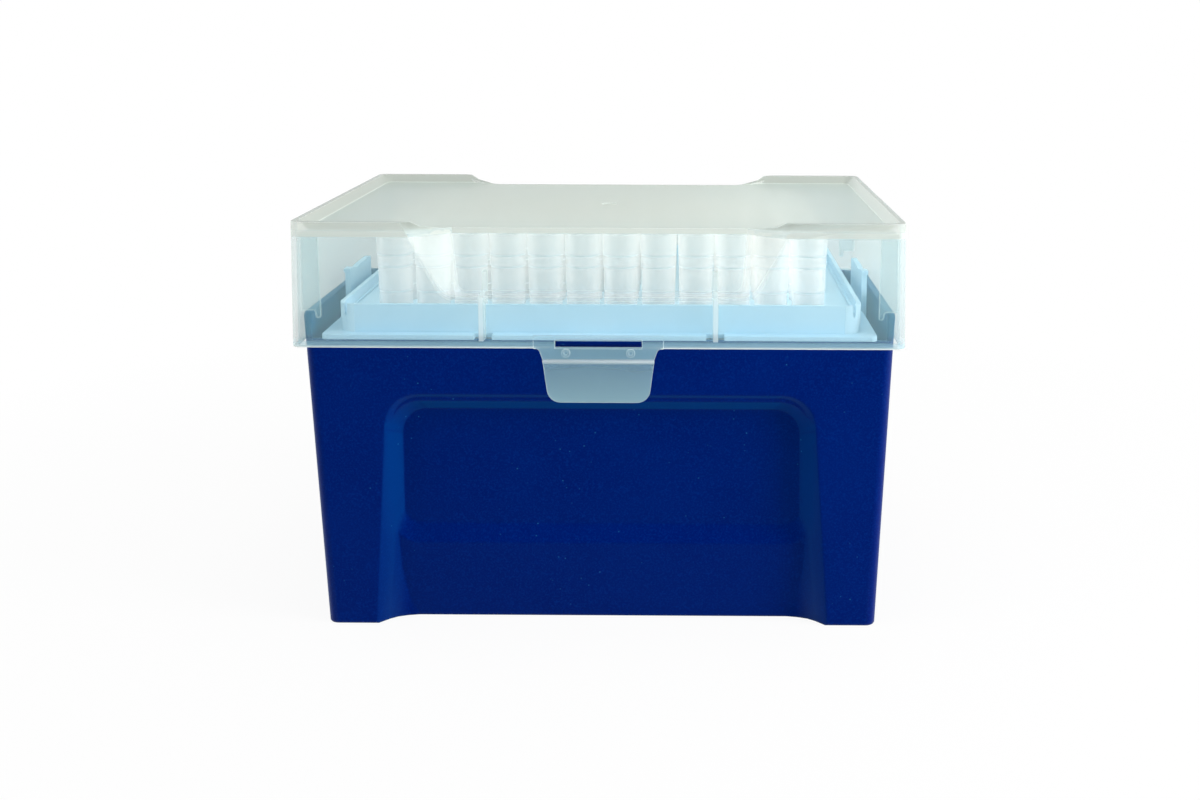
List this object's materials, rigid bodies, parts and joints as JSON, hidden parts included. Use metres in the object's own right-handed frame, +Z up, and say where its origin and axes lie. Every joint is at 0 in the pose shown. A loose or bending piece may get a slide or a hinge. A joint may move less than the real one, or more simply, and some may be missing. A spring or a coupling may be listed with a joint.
{
  "type": "pipette tip box",
  "caption": "Hinged laboratory box of pipette tips: drafted tub, perforated tray that holds the tips in a grid, clear stacking lid with finger pockets and a front latch flap.",
  "frame": {"origin": "under the middle of the whole box, on the surface that it stands on", "axes": "+Z up, +Y towards the lid's hinge, the latch faces -Y, +X towards the highest column number"},
  "size_m": [0.142, 0.099, 0.0995],
  "materials": {
    "base_plastic": "matte dark blue moulded polypropylene",
    "wafer_plastic": "satin light blue moulded polypropylene",
    "lid_plastic": "clear, lightly frosted polypropylene",
    "tip_plastic": "translucent polypropylene"
  },
  "bodies": {
    "rack": {"rack_base": "base_plastic", "tip_wafer": "wafer_plastic", "tips_col01_rows_a_d": "tip_plastic", "tips_col01_rows_e_h": "tip_plastic", "tips_col02_rows_a_d": "tip_plastic", "tips_col02_rows_e_h": "tip_plastic", "tips_col03_rows_a_d": "tip_plastic", "tips_col03_rows_e_h": "tip_plastic", "tips_col04_rows_a_d": "tip_plastic", "tips_col04_rows_e_h": "tip_plastic", "tips_col05_rows_a_d": "tip_plastic", "tips_col05_rows_e_h": "tip_plastic", "tips_col06_rows_a_d": "tip_plastic", "tips_col06_rows_e_h": "tip_plastic", "tips_col07_rows_a_d": "tip_plastic", "tips_col07_rows_e_h": "tip_plastic", "tips_col08_rows_a_d": "tip_plastic", "tips_col08_rows_e_h": "tip_plastic", "tips_col09_rows_a_d": "tip_plastic", "tips_col09_rows_e_h": "tip_plastic", "tips_col10_rows_a_d": "tip_plastic", "tips_col10_rows_e_h": "tip_plastic", "tips_col11_rows_a_d": "tip_plastic", "tips_col11_rows_e_h": "tip_plastic", "tips_col12_rows_a_d": "tip_plastic", "tips_col12_rows_e_h": "tip_plastic"},
    "lid": {"lid": "lid_plastic"},
    "latch": {"latch_flap": "lid_plastic"}
  },
  "joints": [
    {"name": "lid_hinge", "type": "hinge", "parent": "rack", "child": "lid", "pos_m": [0, 0.0472, 0.0722], "axis": [-1, 0, 0], "range_deg": [0, 120]},
    {"name": "latch_hinge", "type": "hinge", "parent": "lid", "child": "latch", "pos_m": [0, -0.04915, 0.0673], "axis": [-1, 0, 0], "range_deg": [0, 80]}
  ]
}
